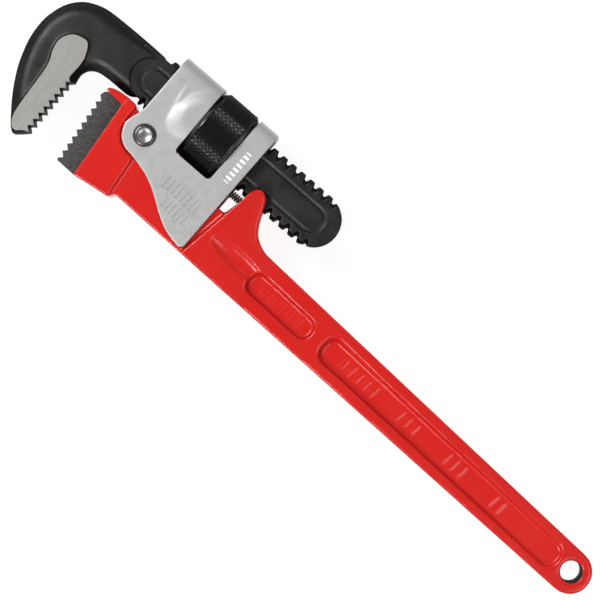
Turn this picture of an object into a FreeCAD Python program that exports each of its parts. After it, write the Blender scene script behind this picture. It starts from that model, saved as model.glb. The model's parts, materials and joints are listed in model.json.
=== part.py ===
import FreeCAD, Part
import math
import os

# A 350 mm adjustable pipe wrench, lying flat. All sizes are in millimetres.
#
# It is drawn around its pivot rivet: the rivet is at the origin, Z is the thickness with the middle plane
# at Z = 0, and X runs along the screw shank towards the grip. The shank lies at a slight angle to the grip,
# so forgings that follow the grip are drawn in the grip's own (u, v) directions and turned by TILT.
# At the end everything is moved together, so that the origin is under the middle of the whole tool.

V = FreeCAD.Vector

TILT = 1.65                       # degrees between the grip and the shank

# Screw thread on the shank, and the nut that runs on it
PITCH = 4.75
SHANK_Y = 18.9                    # height of the shank's axis over the pivot
CREST_R, ROOT_R = 11.45, 9.55
ROOT_W, CREST_W = 2.7, 1.2        # width of a thread ridge at its foot and at its crest
THREAD_GAP = 0.3                  # radial clearance in the nut
FLANK_GAP = 0.35                  # clearance beside each flank
SHANK_HALF = 6.1                  # half the shank's thickness
SHANK_X = (-13.0, 72.1)           # thread start, and centre of the rounded end
SHANK_END_R = 11.1
NUT_R = 16.2
NUT_X = (13.0, 30.5)
NUT_CHAMFER = 1.6

# Pressed frame around the shank
SHEET = 2.0
FRAME_HALF = 12.5                 # half the width over the two side plates
FRAME_X = (-7.2, 40.5)
FRAME_TOP = 34.6
BEND_R = 4.5
WINDOW_X = (12.4, 31.3)
WINDOW_Y = 2.0
EYE_R = 9.2                       # rounding of the plates about the rivet
SPRING_TAB_X = (34.2, 36.2)

# Handle forging
HEAD_HALF = 11.5
TONGUE_HALF = 10.0
SHOULDER_HALF = 12.5
SLOT_HALF = 6.5                   # half the fork's slot, which the shank rocks in
HEEL_HALF = 10.0
HOLE = (241.2, -12.9, 4.4)        # hanging hole: u, v, radius
RECESSES = (                      # u from, u to, v from, v to, height of the floor over the middle plane
    (68.7, 101.7, -18.3, -8.7, 6.6),
    (108.0, 234.7, -19.0, -7.7, 5.4),
)

# Jaws
HOOK_HALF = 9.5
TOOTH_DEPTH = 1.8
HEEL_TEETH = 10
HOOK_TEETH = 8

# Rivet and springs
RIVET_R = 3.5
RIVET_GAP = 0.05
RIVET_HEAD_R = 4.6
RIVET_HEAD_T = 1.1
COIL_R, COIL_WIRE_R, COIL_PITCH = 1.35, 0.35, 1.05
COIL_Y, COIL_Z = 5.07, 8.6
COIL_X = (36.3, 54.3)
LEAF_T, LEAF_HALF = 0.7, 5.0


def turned(points):
    """Points in the grip's (u, v) directions, in the wrench's (x, y)."""
    c, s = math.cos(math.radians(TILT)), math.sin(math.radians(TILT))
    return [(u * c + v * s, v * c - u * s) for u, v in points]


def line(*points):
    """Straight edges from point to point."""
    at = [V(x, y, 0) for x, y in points]
    return [Part.makeLine(a, b) for a, b in zip(at, at[1:]) if (a - b).Length > 1e-6]


def curve(*points):
    """One smooth edge through the points."""
    spline = Part.BSplineCurve()
    spline.interpolate([V(x, y, 0) for x, y in points])
    return [spline.toShape()]


def arc(a, b, c):
    """A circular edge through three points."""
    return [Part.Arc(*(V(x, y, 0) for x, y in (a, b, c))).toShape()]


def plate(edges, low, high):
    """A solid with the outline in plan, from Z = low to Z = high."""
    face = Part.Face(Part.Wire(Part.__sortEdges__(edges)))
    face.translate(V(0, 0, low))
    return face.extrude(V(0, 0, high - low))


def block(x, y, z):
    return Part.makeBox(x[1] - x[0], y[1] - y[0], z[1] - z[0], V(x[0], y[0], z[0]))


def along_x(radius, x, y, z=0.0):
    return Part.makeCylinder(radius, x[1] - x[0], V(x[0], y, z), V(1, 0, 0))


def along_z(radius, low, high, x=0.0, y=0.0):
    return Part.makeCylinder(radius, high - low, V(x, y, low), V(0, 0, 1))


def pill(x, y, radius, low, high):
    """A plate with straight sides and fully rounded ends, whose ends reach x[0] and x[1]."""
    a, b = x[0] + radius, x[1] - radius
    edges = line((a, y - radius), (b, y - radius)) + arc((b, y - radius), (x[1], y), (b, y + radius))
    edges += line((b, y + radius), (a, y + radius)) + arc((a, y + radius), (x[0], y), (a, y - radius))
    return plate(edges, low, high)


def both_sides(shape):
    """The shape and its mirror image through the middle plane."""
    return [shape, shape.mirror(V(0, 0, 0), V(0, 0, 1))]


def thread(x, foot_r, foot_w, top_r, top_w):
    """A right-hand helical ridge about the shank's axis. Its crest is straight over the axis at whole
    numbers of pitches from the pivot, so a ridge and the groove that receives it always agree."""
    turns_before = math.floor(x[0] / PITCH) - 0.25
    start = turns_before * PITCH
    helix = Part.makeHelix(PITCH, x[1] - start, foot_r)
    corners = [(foot_r, -foot_w / 2), (top_r, -top_w / 2), (top_r, top_w / 2), (foot_r, foot_w / 2)]
    profile = Part.makePolygon([V(r, 0, h) for r, h in corners + corners[:1]])
    ridge = Part.Wire(helix.Edges).makePipeShell([profile], True, True)
    ridge.rotate(V(0, 0, 0), V(0, 1, 0), 90)
    ridge.translate(V(start, SHANK_Y, 0))
    return ridge


def ridge_width(radius):
    """How wide the shank's thread ridge is at a radius."""
    return ROOT_W - (ROOT_W - CREST_W) * (radius - ROOT_R) / (CREST_R - ROOT_R)


def teeth(first, last, count, inward):
    """A zigzag through evenly spaced tooth tips, with the roots between them moved by inward in u."""
    zigzag = []
    for i in range(count):
        t = i / (count - 1)
        u, v = first[0] + t * (last[0] - first[0]), first[1] + t * (last[1] - first[1])
        if i:
            zigzag.append(((u + zigzag[-1][0]) / 2 + inward, (v + zigzag[-1][1]) / 2))
        zigzag.append((u, v))
    return zigzag


def make_handle():
    """One forging: head, tongue, shoulder, fork and grip."""
    upper = turned([(70, -2.2), (65.5, -1.8), (60.5, 0.5), (57.4, 4), (55.2, 8), (53.7, 11.6), (51.8, 14.2),
                    (49.5, 15.3), (47.4, 14.6), (45.8, 12)])
    edge = turned([(45.8, 12), (45.5, 8), (43.9, -1.3), (31, -1.5), (12.5, -0.2), (6, 5.4), (-9.6, 5.4),
                   (-11, 6.75), (-15, 6.75), (-22.3, 4.8), (-23.2, 3.6), (-22.3, 3.0), (-15.2, 2.7),
                   (-14.8, 2.3), (-10.4, -30.5), (5.5, -27.8), (6.6, -25.2), (50, -24.7), (100, -24.0),
                   (240.6, -22.2)])
    end = turned([(240.6, -22.2), (249.8, -13.2), (240.8, -4.2)])
    back = turned([(240.8, -4.2), (150, -3.2), (70, -2.2)])
    body = plate(line(*edge) + arc(*end) + line(*back) + curve(*upper), -SHOULDER_HALF, SHOULDER_HALF)

    # The thickness falls from the shoulder to a thinner grip.
    sides = [(-30, HEAD_HALF), (20, HEAD_HALF), (38, SHOULDER_HALF), (46, SHOULDER_HALF), (74, 9.2),
             (228, 7.0), (256, 7.0)]
    profile = [V(x, -40, z) for x, z in sides] + [V(x, -40, -z) for x, z in reversed(sides)]
    body = body.common(Part.Face(Part.makePolygon(profile + profile[:1])).extrude(V(0, 80, 0)))

    # The frame's plates swing over the tongue, clear of a round eye, the head's step and the shoulder.
    pocket = turned([(-1.0, -9.9), (2.4, -9.9), (6.2, -34), (40.5, -34), (41.7, -24), (45.5, 8), (46, 20)])
    pocket = line(*pocket, (-10.0, 20.6), (-10.0, 0), (-1.3, -9.8), pocket[0])
    outside = plate(pocket, TONGUE_HALF, 20).fuse(along_z(EYE_R + 0.7, TONGUE_HALF, 20))
    for side in both_sides(outside):
        body = body.cut(side)

    # The fork's slot lets the shank rock down as the frame opens.
    slot = line((42, 3.4), (62, 1.3), (62, 40), (42, 40), (42, 3.4))
    body = body.cut(plate(slot, -SLOT_HALF, SLOT_HALF))

    # Panels sunk in both faces of the grip, with plain raised bars in place of any lettering.
    for u0, u1, v0, v1, floor in RECESSES:
        panel = pill((u0, u1), (v0 + v1) / 2, (v1 - v0) / 2, floor, 20)
        bars = [block((u, u + 2.2), ((v0 + v1) / 2 - 2.2, (v0 + v1) / 2 + 2.2), (floor - 1, floor + 0.5))
                for u in (u0 + 9 + 6 * i for i in range(int((u1 - u0 - 18) // 6) + 1))]
        panel = panel.cut(Part.makeCompound(bars))
        panel.rotate(V(0, 0, 0), V(0, 0, 1), -TILT)
        for side in both_sides(panel):
            body = body.cut(side)

    # Holes: hanging hole, rivet hole, blind seat for the coil spring.
    (hole_x, hole_y), = turned([HOLE[:2]])
    body = body.cut(along_z(HOLE[2], -20, 20, hole_x, hole_y))
    body = body.cut(along_z(RIVET_R, -20, 20))
    return body.cut(along_x(COIL_R + COIL_WIRE_R + 0.1, (42, COIL_X[1]), COIL_Y, COIL_Z))


def make_heel_jaw():
    """The toothed block on the head's seat."""
    tips = teeth((-24, 0), (-19.6, -29.8), HEEL_TEETH, TOOTH_DEPTH)
    points = [(-15.2, 2.7), (-22.3, 3.0), (-23.4, 2.2)] + tips + [(-18.9, -30.6), (-10.4, -30.5), (-14.8, 2.3)]
    points = turned(points)
    return plate(line(*points, points[0]), -HEEL_HALF, HEEL_HALF)


def make_hook_jaw():
    """One forging: toothed hook and threaded flat shank."""
    back = turned([(-12.5, 28.4), (-20, 28.35), (-30, 28.05), (-40, 27.5), (-46, 26.8), (-51, 25.0),
                   (-55.5, 22), (-59.4, 16.5), (-61.5, 9), (-61.6, 3), (-60.6, -3), (-59, -8), (-57, -13),
                   (-54, -18.5), (-50, -24.5), (-46, -29.5), (-43, -33), (-41.3, -34.4)])
    tips = teeth((-35.1, -30.0), (-35.9, -7.3), HOOK_TEETH, -TOOTH_DEPTH)
    front = turned([(-41.3, -34.4), (-39.5, -34.7), (-36.0, -31.4)] + tips
                   + [(-37.4, -5.6), (-36.0, -4.4), (-35.8, 0.5)])
    throat = turned([(-35.8, 0.5), (-34.9, 3.2), (-33.2, 5.0), (-30.6, 6.2), (-26, 6.78)])
    neck = [throat[-1], (-11.5, 7.55), (-11.5, back[0][1]), back[0]]
    hook = plate(curve(*back) + line(*front) + curve(*throat) + line(*neck), -HOOK_HALF, HOOK_HALF)

    # The flats of the shank run into the hook's side and end in a round step.
    (step_x, step_y), = turned([(-14, 18)])
    step = along_z(8.5, SHANK_HALF, 20, step_x, step_y)
    step = step.fuse(block((step_x + 0.5, 10), (0, 40), (SHANK_HALF, 20)))
    for side in both_sides(step):
        hook = hook.cut(side)

    # The shank is a threaded rod cut to two flats, so the thread is left on its narrow edges only.
    flats = block((SHANK_X[0], SHANK_X[1] + SHANK_END_R), (0, 40), (-SHANK_HALF, SHANK_HALF))
    foot_r = ROOT_R - 0.15
    ridges = thread((SHANK_X[0], SHANK_X[1] + SHANK_END_R), foot_r, ridge_width(foot_r), CREST_R, CREST_W)
    shank = along_x(ROOT_R, (SHANK_X[0], SHANK_X[1] + SHANK_END_R), SHANK_Y).common(flats)
    shank = shank.fuse(ridges.common(flats))
    beyond_end = block((SHANK_X[1], SHANK_X[1] + 30), (0, 40), (-20, 20))
    shank = shank.cut(beyond_end.cut(along_z(SHANK_END_R, -20, 20, SHANK_X[1], SHANK_Y)))
    hook = hook.fuse(shank)

    # A pill-shaped groove runs round each flat.
    groove = pill((-17.5, 76.7), 18.5, 5.6, SHANK_HALF - 0.5, 20).cut(pill((-16.5, 75.7), 18.5, 4.6, 0, 20))
    for side in both_sides(groove):
        hook = hook.cut(side)
    return hook


def make_nut():
    """Round nut with the shank's thread inside."""
    nut = along_x(NUT_R, NUT_X, SHANK_Y)
    nut = nut.makeChamfer(NUT_CHAMFER, [e for e in nut.Edges if isinstance(e.Curve, Part.Circle)])
    nut = nut.cut(along_x(ROOT_R + THREAD_GAP, (0, 50), SHANK_Y))
    foot_r, top_r = ROOT_R + 0.1, CREST_R + THREAD_GAP
    widths = [ridge_width(r) + 2 * FLANK_GAP for r in (foot_r, top_r)]
    groove = thread((NUT_X[0] - 2 * PITCH, NUT_X[1] + 2 * PITCH), foot_r, widths[0], top_r, widths[1])
    return nut.cut(groove.common(block(NUT_X, (0, 40), (-20, 20))))


def make_frame():
    """One pressing: two side plates folded over a back web, with a window for the nut."""
    inner, top = FRAME_HALF - SHEET, FRAME_TOP - SHEET

    def channel(half, height, bend):
        """A solid bar with the channel's outside or inside shape, rounded along its two upper edges."""
        bar = block((-20, 60), (-40, height), (-half, half))
        corners = [e for e in bar.Edges
                   if abs(e.BoundBox.YMin - height) < 1e-3 and e.BoundBox.XLength > 70]
        return bar.makeFillet(bend, corners)

    sheet = channel(FRAME_HALF, FRAME_TOP, BEND_R).cut(channel(inner, top, BEND_R - SHEET))
    low = turned([(1, -9.2), (5, -9.9), (10, -11.1), (15, -13.1), (20, -15.9), (25, -19.0), (30, -21.5),
                  (35, -22.9), (39.5, -23.4)])
    x0, x1 = FRAME_X
    eye = [(-EYE_R * math.sin(a), -EYE_R * math.cos(a)) for a in (math.radians(d) for d in (0, 45, 90))]
    edges = line((x0, FRAME_TOP + 1), (x0, 8.5)) + curve((x0, 8.5), (x0 - 0.3, 5.8), (x0 - 1.3, 3), eye[2])
    edges += arc(eye[2], eye[1], eye[0]) + curve(eye[0], *low)
    edges += line(low[-1], (x1, low[-1][1] + 1.2), (x1, FRAME_TOP + 1), (x0, FRAME_TOP + 1))
    frame = sheet.common(plate(edges, -30, 30))
    window = block(WINDOW_X, (WINDOW_Y, 60), (-30, 30))
    corners = [e for e in window.Edges
               if e.BoundBox.ZLength > 50 and abs(e.BoundBox.YMin - WINDOW_Y) < 1e-3]
    frame = frame.cut(window.makeFillet(1.5, corners))

    # A shallow crown pressed outwards in each plate, left of the window.
    rise, radius = 1.2, 18.2
    crown, hollow = (Part.makeSphere(radius, V(5.9, 20.8, face + rise - radius)).common(
        block((-1, 12.3), (12, 30), (low_z, 20))) for face, low_z in ((FRAME_HALF, inner + 0.5), (inner, inner)))
    for raised, sunk in zip(both_sides(crown), both_sides(hollow)):
        frame = frame.fuse(raised).cut(sunk)

    # An inturned tab beside the shank is the coil spring's seat.
    frame = frame.fuse(block(SPRING_TAB_X, (2.9, 7.3), (COIL_Z - COIL_R - COIL_WIRE_R, inner + 0.5)))
    frame = frame.cut(along_z(RIVET_R + RIVET_GAP, -20, 20))
    return frame.cut(Part.makeCylinder(1.2, 10, V(1.0, 30, 0), V(0, 1, 0))).removeSplitter()


def make_pivot_rivet():
    """Rivet through both plates and the tongue. Each head has a dimple set into its middle."""
    low = FRAME_HALF + 0.1
    rivet = along_z(RIVET_R, -low, low)
    head = along_z(RIVET_HEAD_R, low, low + RIVET_HEAD_T)
    rim = [e for e in head.Edges if abs(e.BoundBox.ZMin - low - RIVET_HEAD_T) < 1e-3]
    head = head.makeFillet(0.6, rim)
    head = head.cut(Part.makeSphere(5.6, V(0, 0, low + RIVET_HEAD_T + 5.0)))
    return rivet.fuse(both_sides(head)).removeSplitter()


def make_coil_spring():
    """Coil between the frame's tab and the blind seat in the handle's shoulder."""
    length = COIL_X[1] - COIL_X[0] - 2 * COIL_WIRE_R
    helix = Part.makeHelix(COIL_PITCH, length, COIL_R)
    section = Part.Wire(Part.makeCircle(COIL_WIRE_R, V(COIL_R, 0, 0), V(0, 1, 0)))
    coil = Part.Wire(helix.Edges).makePipeShell([section], True, True)
    coil.rotate(V(0, 0, 0), V(0, 1, 0), 90)
    coil.translate(V(COIL_X[0] + COIL_WIRE_R, COIL_Y, COIL_Z))
    return coil


def make_leaf_spring():
    """Bent strip inside the back web, whose end presses on the crests of the thread."""
    web = FRAME_TOP - SHEET
    under = [(-6.6, web - 1.5), (-1.8, web - LEAF_T), (3.6, web - LEAF_T), (11.4, web - 1.9)]
    over = [(x, y + LEAF_T) for x, y in reversed(under)]
    strip = plate(line(*under, *over, under[0]), -LEAF_HALF, LEAF_HALF)
    return strip.cut(Part.makeCylinder(1.2, 10, V(1.0, 28, 0), V(0, 1, 0)))


def make_leaf_spring_rivet():
    """Small rivet that holds the leaf spring to the web, flush outside."""
    web = FRAME_TOP - SHEET
    head = Part.makeCylinder(2.2, 0.6, V(1.0, web - LEAF_T - 0.6, 0), V(0, 1, 0))
    return head.fuse(Part.makeCylinder(1.2, SHEET + LEAF_T, V(1.0, web - LEAF_T, 0), V(0, 1, 0)))


PARTS = {
    "handle": make_handle,
    "heel_jaw": make_heel_jaw,
    "hook_jaw": make_hook_jaw,
    "adjusting_nut": make_nut,
    "frame": make_frame,
    "pivot_rivet": make_pivot_rivet,
    "coil_spring": make_coil_spring,
    "leaf_spring": make_leaf_spring,
    "leaf_spring_rivet": make_leaf_spring_rivet,
}

shapes = {name: make() for name, make in PARTS.items()}
whole = Part.makeCompound(list(shapes.values())).optimalBoundingBox(False, False)
shift = V(-(whole.XMin + whole.XMax) / 2, -(whole.YMin + whole.YMax) / 2, -whole.ZMin)
print("the pivot is at", [round(a, 3) for a in shift], "size", round(whole.XLength, 2), round(whole.YLength, 2),
      round(whole.ZLength, 2))

os.makedirs("parts", exist_ok=True)
for name, shape in shapes.items():
    shape.translate(shift)
    print(name, "solids", len(shape.Solids), "valid", shape.isValid(), "volume", round(shape.Volume))
    shape.exportStep("parts/" + name + ".step")
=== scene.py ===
# %% [markdown]
# # A forged pipe wrench, one piece at a time
# The tool is built around a fixed mechanical model. That model gives every body, every joint and the size
# of each part, and this script gives the parts their real surfaces: forging, screw thread, knurl and paint.
# Everything is in metres, in the mechanical model's own frame.

# %% Load the mechanical model
import json
import math
import bmesh
import bpy
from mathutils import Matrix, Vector


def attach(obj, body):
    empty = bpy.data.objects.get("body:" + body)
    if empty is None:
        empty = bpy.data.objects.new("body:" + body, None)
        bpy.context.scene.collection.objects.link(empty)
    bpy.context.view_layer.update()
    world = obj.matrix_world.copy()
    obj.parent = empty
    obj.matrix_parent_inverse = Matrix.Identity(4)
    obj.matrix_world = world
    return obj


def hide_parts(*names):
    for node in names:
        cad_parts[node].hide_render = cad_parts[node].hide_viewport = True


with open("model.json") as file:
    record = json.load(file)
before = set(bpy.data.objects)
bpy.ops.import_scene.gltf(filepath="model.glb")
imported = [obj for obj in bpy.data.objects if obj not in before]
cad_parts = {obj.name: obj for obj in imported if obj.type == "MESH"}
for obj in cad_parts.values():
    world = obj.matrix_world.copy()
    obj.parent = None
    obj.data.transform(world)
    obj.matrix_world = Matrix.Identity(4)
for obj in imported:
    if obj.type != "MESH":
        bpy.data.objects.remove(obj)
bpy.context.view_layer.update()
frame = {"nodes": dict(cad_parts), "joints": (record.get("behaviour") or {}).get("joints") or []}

joints = {j["name"]: j for j in frame["joints"]}
PIVOT = Vector(joints["frame_pivot"]["pos_m"])
NUT = Vector(joints["nut_spin"]["pos_m"])
print("nodes", sorted(frame["nodes"]))
print("pivot", tuple(PIVOT), "nut", tuple(NUT))

# %% [markdown]
# ## Two ways of giving a place
# The screw shank runs along X. The grip is a little off that line, so the forgings are easier to describe
# along the grip: u runs down the grip and v across it. Both start at the pivot rivet and are in millimetres.

# %% Places on the tool
MM = 0.001
TILT = math.radians(1.65)
HANGING_HOLE, HOLE_RADIUS = (241.2, -12.9), 4.4


def at(x, y, z=0.0):
    """A place along the screw shank, counted from the pivot rivet."""
    return PIVOT + Vector((x, y, z)) * MM


def grip(u, v, z=0.0):
    """A place along the grip, counted from the pivot rivet."""
    return at(u * math.cos(TILT) + v * math.sin(TILT), v * math.cos(TILT) - u * math.sin(TILT), z)


def flow(points, steps):
    """More points on a smooth line through the given ones."""
    line = []
    ends = [points[0] * 2 - points[1]] + points + [points[-1] * 2 - points[-2]]
    for a, b, c, d in zip(ends, ends[1:], ends[2:], ends[3:]):
        for i in range(steps):
            t = i / steps
            line.append(0.5 * (2 * b + (c - a) * t + (2 * a - 5 * b + 4 * c - d) * t * t
                               + (3 * b - a - 3 * c + d) * t ** 3))
    return line + [points[-1]]


print("the hanging hole is at", tuple(grip(*HANGING_HOLE)))

# %% [markdown]
# ## Selecting and settling
# An edit acts on everything that is selected, so each step starts with nothing selected and then picks what
# it needs. It could be done by counting vertices, but a place stays right when the shape changes. A finished
# piece gets its place put into its mesh, so its object stays at the origin like the mechanical parts.

# %% Helpers for selecting and settling
def fresh():
    """Object mode with nothing selected."""
    if bpy.context.object and bpy.context.object.mode != "OBJECT":
        bpy.ops.object.mode_set(mode="OBJECT")
    bpy.ops.object.select_all(action="DESELECT")


def work_on(piece):
    fresh()
    piece.select_set(True)
    bpy.context.view_layer.objects.active = piece


def edit(piece, everything=True):
    work_on(piece)
    bpy.context.tool_settings.mesh_select_mode = (True, False, False)
    bpy.ops.object.mode_set(mode="EDIT")
    bpy.ops.mesh.select_all(action="SELECT" if everything else "DESELECT")


def pick(piece, test, kind="faces"):
    """In edit mode, select the faces or edges whose middle passes the test."""
    bm = bmesh.from_edit_mesh(piece.data)
    bpy.ops.mesh.select_all(action="DESELECT")
    bpy.context.tool_settings.mesh_select_mode = (False, kind == "edges", kind == "faces")
    for part in getattr(bm, kind):
        middle = part.calc_center_median() if kind == "faces" else (part.verts[0].co + part.verts[1].co) / 2
        if test(piece.matrix_world @ middle, part):
            part.select_set(True)
    bm.select_flush_mode()
    bmesh.update_edit_mesh(piece.data)


def name_it(name):
    piece = bpy.context.object
    piece.name = piece.data.name = name
    return piece


def settle(piece):
    """Put the place into the mesh, so that the object sits at the origin, unturned."""
    work_on(piece)
    bpy.ops.object.transform_apply(location=True, rotation=True, scale=True)
    return piece


def close_up(piece):
    """In edit mode, turn every face outwards, then go back to object mode."""
    bpy.ops.mesh.select_all(action="SELECT")
    bpy.ops.mesh.normals_make_consistent(inside=False)
    fresh()
    return piece


print("selecting:", fresh.__name__, work_on.__name__, edit.__name__, pick.__name__, settle.__name__)

# %% [markdown]
# ## Drawing outlines
# Most parts of this tool are flat shapes seen from above, so they are drawn like a forging drawing. An
# outline could be typed in as a list of vertices and faces. Extruding one point from corner to corner is the
# same thing done by hand, and each step can be looked at. The face is then pulled up to its thickness.

# %% Helpers for drawing
def draw_line(name, points):
    """A chain of edges, drawn by extruding one point from place to place. It stays in edit mode."""
    fresh()
    bpy.ops.mesh.primitive_plane_add(size=MM, location=points[0])
    piece = name_it(name)
    edit(piece)
    bpy.ops.mesh.merge(type="CENTER")
    for a, b in zip(points, points[1:]):
        bpy.ops.mesh.extrude_vertices_move(TRANSFORM_OT_translate={"value": b - a})
    bpy.ops.mesh.select_all(action="SELECT")
    return piece


def outline(name, corners):
    """A flat face whose edge runs from corner to corner."""
    piece = draw_line(name, corners)
    bpy.ops.mesh.edge_face_add()
    fresh()
    return settle(piece)


def thicken(piece, low, high):
    """Make a flat outline solid, from low to high millimetres about the middle plane."""
    edit(piece)
    bpy.ops.transform.translate(value=(0, 0, low * MM))
    bpy.ops.mesh.extrude_region_move(TRANSFORM_OT_translate={"value": (0, 0, (high - low) * MM)})
    return close_up(piece)


def round_corners(piece, radius, steps):
    """Round the corners of a flat outline."""
    edit(piece)
    bpy.ops.mesh.bevel(offset=radius * MM, segments=steps, affect="VERTICES", clamp_overlap=True)
    fresh()
    return piece


print("drawing:", outline.__name__, thicken.__name__, round_corners.__name__)

# %% [markdown]
# ## Cutting, joining and forging
# A forging has one skin with soft corners everywhere. It could be bevelled edge by edge, but where three
# hollows meet that fails. So the rough solid is turned into one even skin of small squares and smoothed a
# few times, and whatever is machined afterwards is cut after that, so that it stays sharp.

# %% Helpers for cutting, joining and forging
def modify(piece, kind, **settings):
    """Add one modifier and apply it."""
    work_on(piece)
    modifier = piece.modifiers.new(kind, kind)
    for key, value in settings.items():
        setattr(modifier, key, value)
    bpy.ops.object.modifier_apply(modifier=modifier.name)
    return piece


def combine(piece, tool, how="DIFFERENCE"):
    """Cut, join or intersect a piece with a tool shape, and throw the tool away."""
    modify(piece, "BOOLEAN", operation=how, object=tool, solver="EXACT")
    bpy.data.objects.remove(tool, do_unlink=True)
    return piece


def melt_in(piece, others):
    """Add closed shapes to a piece that is about to be turned into one skin."""
    work_on(piece)
    for other in others:
        other.select_set(True)
    bpy.ops.object.join()
    return piece


def soften(piece, width, steps=3, angle=35):
    """Break the sharp edges."""
    return modify(piece, "BEVEL", width=width * MM, segments=steps, limit_method="ANGLE",
                  angle_limit=math.radians(angle), harden_normals=False)


def forge(piece, grain, passes):
    """Turn a sharp solid into one even skin and smooth it, as a die leaves hot steel."""
    modify(piece, "REMESH", mode="VOXEL", voxel_size=grain * MM, use_smooth_shade=True)
    modify(piece, "SMOOTH", factor=0.5, iterations=passes)
    return piece


def smooth_shading(piece, angle):
    work_on(piece)
    bpy.ops.object.shade_smooth_by_angle(angle=math.radians(angle))
    return piece


def count(piece):
    print(piece.name, len(piece.data.polygons), "faces, size in mm",
          [round(d / MM, 1) for d in piece.dimensions])
    return piece


print("forging:", modify.__name__, combine.__name__, melt_in.__name__, soften.__name__, forge.__name__)

# %% [markdown]
# ## Blocks and bars
# Holes, slots and ground faces are what a drill, a mill or a grinder leaves. Each is cut with a block or a
# round bar of the tool's size, set between two places on the wrench.

# %% Helpers for blocks and bars
def box(name, x, y, z):
    """A block between two places along the shank, for cutting."""
    fresh()
    middle = at((x[0] + x[1]) / 2, (y[0] + y[1]) / 2, (z[0] + z[1]) / 2)
    bpy.ops.mesh.primitive_cube_add(size=1, location=middle)
    piece = name_it(name)
    piece.scale = ((x[1] - x[0]) * MM, (y[1] - y[0]) * MM, (z[1] - z[0]) * MM)
    return settle(piece)


def rod(name, radius, start, end, sides=64):
    """A straight round bar between two places, for cutting."""
    fresh()
    way = end - start
    turn = way.to_track_quat("Z", "Y").to_euler()
    bpy.ops.mesh.primitive_cylinder_add(vertices=sides, radius=radius * MM, depth=way.length,
                                        location=(start + end) / 2, rotation=turn)
    return settle(name_it(name))


print("cutters:", box.__name__, rod.__name__)

# %% [markdown]
# ## Building with nodes
# A finish is a network of nodes. Adding each by hand in the editor is fine for one material, but this tool
# has eight, so the steps that come back are short helpers. An effect that several finishes share is a node
# group with named inputs.

# %% Helpers for nodes
def add_node(tree, kind, **settings):
    made = tree.nodes.new(kind)
    for key, value in settings.items():
        if key in made.inputs:
            made.inputs[key].default_value = value
        else:
            setattr(made, key, value)
    return made


def start_group(name, inputs, outputs):
    tree = bpy.data.node_groups.new(name, "ShaderNodeTree")
    for label, kind, value in inputs:
        tree.interface.new_socket(label, in_out="INPUT", socket_type=kind).default_value = value
    for label, kind in outputs:
        tree.interface.new_socket(label, in_out="OUTPUT", socket_type=kind)
    return tree, tree.nodes.new("NodeGroupInput"), tree.nodes.new("NodeGroupOutput")


def maths(tree, operation, a, b=None, clamp=False):
    made = add_node(tree, "ShaderNodeMath", operation=operation, use_clamp=clamp)
    for place, value in enumerate((a, b)):
        if value is None:
            continue
        if isinstance(value, (int, float)):
            made.inputs[place].default_value = value
        else:
            tree.links.new(value, made.inputs[place])
    return made.outputs[0]


print("nodes:", add_node.__name__, start_group.__name__, maths.__name__)

# %% [markdown]
# ## Shared effect: slow clouds
# Enamel, zinc and oxide all drift a little in colour from place to place. Painting that in would need an
# image. Noise on the object's own coordinates gives it at any scale, and it stays put when a part moves.

# %% Slow clouds
def cloud_group():
    """Slow variation from 0 to 1 over the surface."""
    tree, given, out = start_group(
        "slow_clouds", [("Scale", "NodeSocketFloat", 60.0), ("Sharpness", "NodeSocketFloat", 0.3)],
        [("Mask", "NodeSocketFloat")])
    place = add_node(tree, "ShaderNodeTexCoord")
    noise = add_node(tree, "ShaderNodeTexNoise", Detail=6.0, Roughness=0.6)
    tree.links.new(place.outputs["Object"], noise.inputs["Vector"])
    tree.links.new(given.outputs["Scale"], noise.inputs["Scale"])
    steepness = maths(tree, "ADD", maths(tree, "MULTIPLY", given.outputs["Sharpness"], 0.3), 1.0)
    spread = add_node(tree, "ShaderNodeMapRange")
    spread.inputs["From Min"].default_value = 0.3
    spread.inputs["From Max"].default_value = 0.7
    tree.links.new(noise.outputs["Fac"], spread.inputs["Value"])
    contrast = maths(tree, "POWER", spread.outputs["Result"], steepness, clamp=True)
    tree.links.new(contrast, out.inputs["Mask"])
    return tree


CLOUDS = cloud_group()
print("effect ready:", CLOUDS.name)

# %% [markdown]
# ## Shared effect: fine grain
# No surface here is a mirror: cast scale, plating and paint all break up the light. Real bumps of this size
# would take millions of faces, so the grain is a height for a bump. It mixes a fine and a broad noise, the
# fine one for sparkle and the broad one for the ripple of paint.

# %% Fine grain
def grain_group():
    """Fine unevenness as a height, from two sizes of noise."""
    tree, given, out = start_group(
        "fine_grain", [("Fine Scale", "NodeSocketFloat", 1500.0), ("Broad Scale", "NodeSocketFloat", 200.0),
                       ("Broad Share", "NodeSocketFloat", 0.4)],
        [("Height", "NodeSocketFloat")])
    place = add_node(tree, "ShaderNodeTexCoord")
    fine = add_node(tree, "ShaderNodeTexNoise", Detail=3.0, Roughness=0.6)
    broad = add_node(tree, "ShaderNodeTexNoise", Detail=2.0, Roughness=0.5)
    for noise, size in ((fine, "Fine Scale"), (broad, "Broad Scale")):
        tree.links.new(place.outputs["Object"], noise.inputs["Vector"])
        tree.links.new(given.outputs[size], noise.inputs["Scale"])
    mix = add_node(tree, "ShaderNodeMix")
    tree.links.new(given.outputs["Broad Share"], mix.inputs["Factor"])
    tree.links.new(fine.outputs["Fac"], mix.inputs["A"])
    tree.links.new(broad.outputs["Fac"], mix.inputs["B"])
    tree.links.new(mix.outputs["Result"], out.inputs["Height"])
    return tree


GRAIN = grain_group()
print("effect ready:", GRAIN.name)

# %% [markdown]
# ## Shared effect: edge wear
# Corners rub bright first. The shape's own pointiness finds the outside edges, which saves painting them, and
# noise breaks the line up so that it does not look drawn.

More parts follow.
